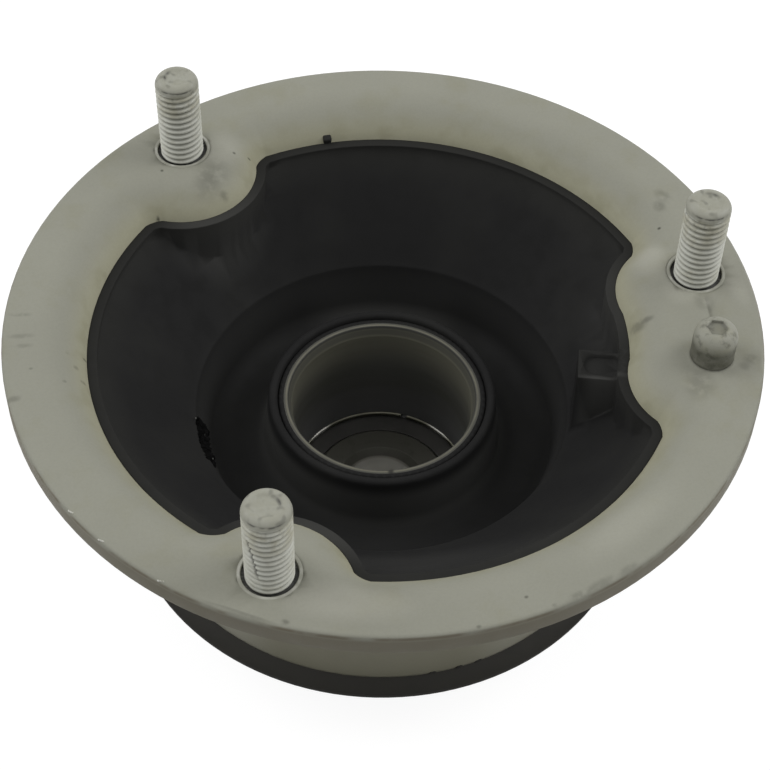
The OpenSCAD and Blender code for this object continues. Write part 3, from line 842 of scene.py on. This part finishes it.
def shape_knurl(vert, at, s, grime_and_shade):
    """Cuts the teeth of the knurl at a stud's foot, painted dark as shade in the sunk ring, but for a few
    bright crests.
    """
    tooth = 0.5 - 0.5 * math.cos(at.turn * s.teeth)
    # Painted shade on the teeth, lifted on a few crests
    vert[grime_and_shade] = 0.92 - 0.7 * (1 - tooth) * smooth(0.0, 0.5, noise.noise(at.where * 0.7))
    set_radius(vert, s.knurl - 0.34 * MM * tooth, at.turn)


def build_stud(name, index, s, material):
    """A threaded stud in place of its plain solid."""
    low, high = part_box(name)
    bm = turned(stud_profile(s, low.z, high.z), s.sides)
    groove = bm.verts.layers.float.new("groove")
    grime_and_shade = bm.verts.layers.float.new("grime_and_shade")
    cap = bm.verts.layers.float.new("cap")
    shaft_top = high.z - s.tip_h
    for vert in bm.verts:
        at = place_on_stud(vert, index)
        vert[cap] = smooth(shaft_top - 0.2 * MM, shaft_top + 0.5 * MM, at.z)
        if at.z > shaft_top + 1e-6:
            shape_tip(vert, at, s, high.z, CAP_STAINS[index], grime_and_shade)
        elif at.z > -s.sink + 0.3 * MM:
            shape_thread(vert, at, s, high.z, name == "stud_front", groove, grime_and_shade)
        elif at.r > s.collar + 0.1 * MM and at.z > -s.sink - 1e-6:
            shape_knurl(vert, at, s, grime_and_shade)
    bmesh.ops.translate(bm, vec=centre_of(name), verts=bm.verts)
    piece = mesh_piece(name + "_thread", bm, "root", material)
    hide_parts(name)


class MOUNT_OT_studs(bpy.types.Operator):
    """Make the three threaded studs"""
    bl_idname = "mount.studs"
    bl_label = "Threaded studs"

    def execute(self, context):
        settings = context.scene.strut_mount
        material = stud_finish("stud_plating", settings.colours)
        for index, name in enumerate(STUDS):
            build_stud(name, index, settings.studs, material)
        return {"FINISHED"}


class MOUNT_OT_rims(bpy.types.Operator):
    """Raise the metal round the feet of the studs and of the pin, and the burrs on the flange's rim"""
    bl_idname = "mount.rims"
    bl_label = "Feet and burrs"

    def execute(self, context):
        settings = context.scene.strut_mount
        s = settings.studs
        material = rim_finish("rubbed_rim", settings.colours)
        for index, name in enumerate(STUDS):
            bm = turned([(s.lip_r + r * MM, z * MM) for r, z in LIP_SECTION], s.sides, closed=True)
            for vert in bm.verts:
                if vert.co.z > 0:
                    rough = noise.noise(vert.co / MM * 0.8 + Vector((index * 19.0, 5, 0)))
                    vert.co.z *= 0.9 + 0.8 * rough
            bmesh.ops.translate(bm, vec=centre_of(name), verts=bm.verts)
            mesh_piece(name + "_rim", bm, "root", material)
        bm = turned([(r * MM, z * MM) for r, z in PIN_FILLET], s.sides, closed=True)
        bmesh.ops.translate(bm, vec=centre_of("locating_pin"), verts=bm.verts)
        flange_zinc = bpy.data.objects["housing_skin"].data.materials[0]
        mesh_piece("pin_foot", bm, "root", flange_zinc)
        bm = bmesh.new()
        for seed, angle in enumerate(RIM_BURRS):
            for part in range(3):
                place = (RIM_R - 0.25 - 0.12 * part, -0.2 + 0.06 * part)
                flake(bm, place, angle + 0.35 * (part - 1), (0.15, 0.22, 0.12), seed * 3 + part)
        mesh_piece("rim_burrs", bm, "root", burr_finish("bare_burr", settings.colours))
        return {"FINISHED"}


def torn_edge(span, section, heart):
    """A ragged strip round part of the axis; the points of its section stand off its heart."""
    bm = bmesh.new()
    chain = [bm.verts.new(polar(r * MM, span[0], z * MM)) for r, z in section]
    edges = [bm.edges.new(pair) for pair in zip(chain, chain[1:] + chain[:1])]
    bmesh.ops.spin(bm, geom=chain + edges, cent=(0, 0, 0), axis=(0, 0, 1),
                   angle=math.radians(span[1] - span[0]), steps=110)
    bmesh.ops.holes_fill(bm, edges=[edge for edge in bm.edges if edge.is_boundary], sides=0)
    for vert in bm.verts:
        angle = math.degrees(math.atan2(vert.co.y, vert.co.x)) % 360
        share = (angle - span[0]) / (span[1] - span[0])
        inside = smooth(0.0, 0.12, share) * smooth(1.0, 0.88, share)
        r, z = math.hypot(vert.co.x, vert.co.y) / MM, vert.co.z / MM
        off = Vector((r - heart[0], z - heart[1]))
        where = Vector((angle * 1.1, r * 1.3, z * 1.3))
        ragged = noise.noise(where) + 0.7 * noise.noise(where * 2.7)
        if off.length > 0.1:
            off += off.normalized() * (0.55 * ragged * inside - 0.7 * (1 - inside))
        vert.co = polar((heart[0] + off.x - 0.7 * (1 - share)) * MM, angle, (heart[1] + off.y) * MM)
    return bm


class MOUNT_OT_rubber_marks(bpy.types.Operator):
    """Add the torn strip, the nib and the flash on the rubber"""
    bl_idname = "mount.rubber_marks"
    bl_label = "Rubber marks"

    def execute(self, context):
        colours = context.scene.strut_mount.colours
        rubber = rubber_finish("rubber_flash", colours)
        strip = torn_edge(TORN_SPAN, TORN_SECTION, TORN_HEART)
        mesh_piece("torn_strip", strip, "root", torn_finish("torn_rubber", colours))
        bm = bmesh.new()
        # Light grey flecks as painted glints on the tear
        for seed, (angle, place, length) in enumerate(TORN_GLINT_FLECKS):
            flake(bm, place, angle, (0.13, length, 0.16), seed + 40)
        mesh_piece("torn_glint_flecks", bm, "root", glint_fleck_finish("torn_painted_glint", colours))
        bm = bmesh.new()
        for seed, angle in enumerate(NECK_FLASH):
            flake(bm, NECK_FOOT, angle, (0.22, 0.7, 0.36), seed + 60)
        mesh_piece("neck_flash", bm, "root", rubber)
        bm = bmesh.new()
        bmesh.ops.create_cube(bm, size=1.0)
        bmesh.ops.bevel(bm, geom=bm.edges[:], offset=0.18, segments=3, affect="EDGES", profile=0.5,
                        material=-1)
        bmesh.ops.scale(bm, vec=Vector(NIB_SIZE) * MM, verts=bm.verts)
        swing(bm, bm.verts, NIB_TILT, "Y")
        bmesh.ops.translate(bm, vec=(NIB_PLACE[0] * MM, 0, NIB_PLACE[1] * MM), verts=bm.verts)
        swing(bm, bm.verts, NIB_ANGLE, "Z")
        mesh_piece("rubber_nib", bm, "root", rubber)
        return {"FINISHED"}


class MOUNT_OT_skins(bpy.types.Operator):
    """Give the housing and the rubber their even skins"""
    bl_idname = "mount.skins"
    bl_label = "Housing and rubber"

    def execute(self, context):
        settings = context.scene.strut_mount
        dressed("housing", zinc_finish("zinc_steel", settings.colours, settings.studs.sink_r))
        dressed("rubber_cushion", rubber_finish("black_rubber", settings.colours))
        return {"FINISHED"}


class MOUNT_OT_finishes(bpy.types.Operator):
    """Give every other carried-over part its finish"""
    bl_idname = "mount.finishes"
    bl_label = "Finishes"

    def execute(self, context):
        c = context.scene.strut_mount.colours
        steel = steel_finish("ground_steel", c.steel, c.cup, 0.28)
        # The snap ring, with painted highlights
        wire = steel_finish("spring_wire", c.cup, c.cup_shade_and_stain, 0.3, highlights=RING_HIGHLIGHTS, bright=c.steel)
        # The inner race, with a painted highlight round its bore
        race = steel_finish("race_face", c.race, c.grime_and_shade, 0.45, metallic=0.3, bright=c.bore, bore=BORE_R)
        seal = rubber_finish("seal_rubber", c, gloss=0.45, worn=c.seal)
        finishes = {
            "locating_pin": pin_finish("zinc_pin", c),
            "bearing_cup": cup_finish("drawn_steel", c),
            "snap_ring": wire,
            "outer_race": steel,
            "inner_race": race,
            "ball_cage": steel_finish("cage_brass", c.cage, c.grime_and_shade, 0.4),
            "upper_seal": seal,
            "lower_seal": seal,
        }
        balls = steel_finish("polished_balls", c.steel, c.steel, 0.12, metallic=1.0)
        finishes.update({name: balls for name in BALLS})
        for name, material in finishes.items():
            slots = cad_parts[name].data.materials
            slots.clear()
            slots.append(material)
        return {"FINISHED"}


def seen_white(tree):
    """1 for rays that show the backdrop itself, in the camera, a mirror or glass; 0 for its light."""
    path = tree.nodes.new("ShaderNodeLightPath")
    total = path.outputs["Is Camera Ray"]
    for ray in ("Is Glossy Ray", "Is Transmission Ray"):
        both = tree.nodes.new("ShaderNodeMath")
        both.operation = "MAXIMUM"
        tree.links.new(total, both.inputs[0])
        tree.links.new(path.outputs[ray], both.inputs[1])
        total = both.outputs[0]
    return total


def floor_material(stage, hub):
    """Pale floor that shows white but keeps the part's shadow; its glow is painted down to a faint grey
    under the part, a painted shadow that shows through the bore; hub is the radius that the part hides.
    """
    material = bpy.data.materials.new("pale_floor")
    material.use_nodes = True
    tree = material.node_tree
    tree.nodes.clear()
    out = tree.nodes.new("ShaderNodeOutputMaterial")
    plain = tree.nodes.new("ShaderNodeBsdfDiffuse")
    plain.inputs["Color"].default_value = (*stage.floor, 1.0)
    shown = tree.nodes.new("ShaderNodeBsdfDiffuse")
    shown.inputs["Color"].default_value = (stage.shadow, stage.shadow, stage.shadow, 1.0)
    glow = tree.nodes.new("ShaderNodeEmission")
    place = tree.nodes.new("ShaderNodeTexCoord")
    away = tree.nodes.new("ShaderNodeVectorMath")
    away.operation = "LENGTH"
    tree.links.new(place.outputs["Object"], away.inputs[0])
    # Painted shadow: the glow fades to a faint grey under the part
    fade = tree.nodes.new("ShaderNodeMapRange")
    fade.interpolation_type = "SMOOTHSTEP"
    tree.links.new(away.outputs["Value"], fade.inputs["Value"])
    limits = {"From Min": hub * 0.4, "From Max": hub, "To Min": stage.glow_in_painted_shadow, "To Max": stage.glow}
    for key, number in limits.items():
        fade.inputs[key].default_value = number
    tree.links.new(fade.outputs[0], glow.inputs["Strength"])
    both = tree.nodes.new("ShaderNodeAddShader")
    tree.links.new(shown.outputs[0], both.inputs[0])
    tree.links.new(glow.outputs[0], both.inputs[1])
    choose = tree.nodes.new("ShaderNodeMixShader")
    tree.links.new(seen_white(tree), choose.inputs[0])
    tree.links.new(plain.outputs[0], choose.inputs[1])
    tree.links.new(both.outputs[0], choose.inputs[2])
    tree.links.new(choose.outputs[0], out.inputs[0])
    return material


def light_world(stage):
    """Even light from all round that shows as white where nothing else is."""
    world = bpy.data.worlds.new("studio")
    bpy.context.scene.world = world
    world.use_nodes = True
    tree = world.node_tree
    light = tree.nodes["Background"]
    strength = tree.nodes.new("ShaderNodeMapRange")
    tree.links.new(seen_white(tree), strength.inputs["Value"])
    strength.inputs["To Min"].default_value = stage.sky
    strength.inputs["To Max"].default_value = 1.0
    light.inputs["Color"].default_value = (1.0, 1.0, 1.0, 1.0)
    tree.links.new(strength.outputs[0], light.inputs["Strength"])


def camera_place(stage):
    """The camera's matrix: it looks at the flange's centre, then aims a little off it and rolls."""
    turn = Matrix.Rotation(stage.azimuth, 3, "Z")
    back = turn @ Vector((0, -math.cos(stage.elevation), math.sin(stage.elevation)))
    right = turn @ Vector((1, 0, 0))
    up = back.cross(right)
    forward = (-back + stage.aim_right * right + stage.aim_up * up).normalized()
    right = forward.cross(Vector((0, 0, 1))).normalized()
    up = right.cross(forward)
    level = Matrix((right, up, -forward)).transposed().to_4x4()
    return Matrix.Translation(back * stage.distance) @ level @ Matrix.Rotation(stage.roll, 4, "Z")


class MOUNT_OT_stage(bpy.types.Operator):
    """Set the floor, the light and the camera"""
    bl_idname = "mount.stage"
    bl_label = "Stage"

    def execute(self, context):
        scene = context.scene
        stage = scene.strut_mount.stage
        scene.view_settings.view_transform = "Standard"
        bm = bmesh.new()
        bmesh.ops.create_grid(bm, x_segments=1, y_segments=1, size=6.0)
        bmesh.ops.translate(bm, vec=(0, 0, CAD_LOW.z), verts=bm.verts)
        mesh = bpy.data.meshes.new("floor")
        bm.to_mesh(mesh)
        bm.free()
        floor = bpy.data.objects.new("floor", mesh)
        mesh.materials.append(floor_material(stage, CAD_HIGH.x))
        scene.collection.objects.link(floor)
        light_world(stage)
        lamp = bpy.data.lights.new("softbox", "AREA")
        lamp.shape = "DISK"
        lamp.size = stage.lamp_size
        lamp.energy = stage.lamp
        for side, turn in (("left", math.pi - stage.lamp_back), ("right", stage.lamp_back)):
            softbox = bpy.data.objects.new("softbox_" + side, lamp)
            tilt = Vector((math.cos(stage.lamp_up), 0, math.sin(stage.lamp_up)))
            out = Matrix.Rotation(stage.azimuth + turn, 3, "Z") @ tilt
            softbox.location = out * stage.lamp_away
            softbox.rotation_euler = out.to_track_quat("Z", "Y").to_euler()
            scene.collection.objects.link(softbox)
        view = bpy.data.cameras.new("camera")
        view.sensor_width = SENSOR_WIDTH
        view.lens = stage.focal_px * SENSOR_WIDTH / IMAGE_WIDTH
        view.clip_start = 10 * MM
        camera = bpy.data.objects.new("camera", view)
        camera.matrix_world = camera_place(stage)
        scene.collection.objects.link(camera)
        scene.camera = camera
        return {"FINISHED"}


STEPS = ("mount.skins", "mount.studs", "mount.rims", "mount.rubber_marks", "mount.finishes", "mount.stage")


class MOUNT_PT_finish(bpy.types.Panel):
    """Sidebar panel with the steps in order"""
    bl_idname = "MOUNT_PT_finish"
    bl_label = "Strut mount"
    bl_space_type = "VIEW_3D"
    bl_region_type = "UI"
    bl_category = "Strut mount"

    def draw(self, context):
        for step in STEPS:
            self.layout.operator(step)


CLASSES = (
    StudSettings, ColourSettings, StageSettings, MountSettings, MOUNT_OT_skins, MOUNT_OT_studs,
    MOUNT_OT_rims, MOUNT_OT_rubber_marks, MOUNT_OT_finishes, MOUNT_OT_stage, MOUNT_PT_finish,
)


def register():
    for cls in CLASSES:
        bpy.utils.register_class(cls)
    bpy.types.Scene.strut_mount = PointerProperty(type=MountSettings)


def unregister():
    del bpy.types.Scene.strut_mount
    for cls in reversed(CLASSES):
        bpy.utils.unregister_class(cls)


def main():
    register()
    for step in STEPS:
        group, name = step.split(".")
        getattr(getattr(bpy.ops, group), name)()


if __name__ == "__main__":
    main()
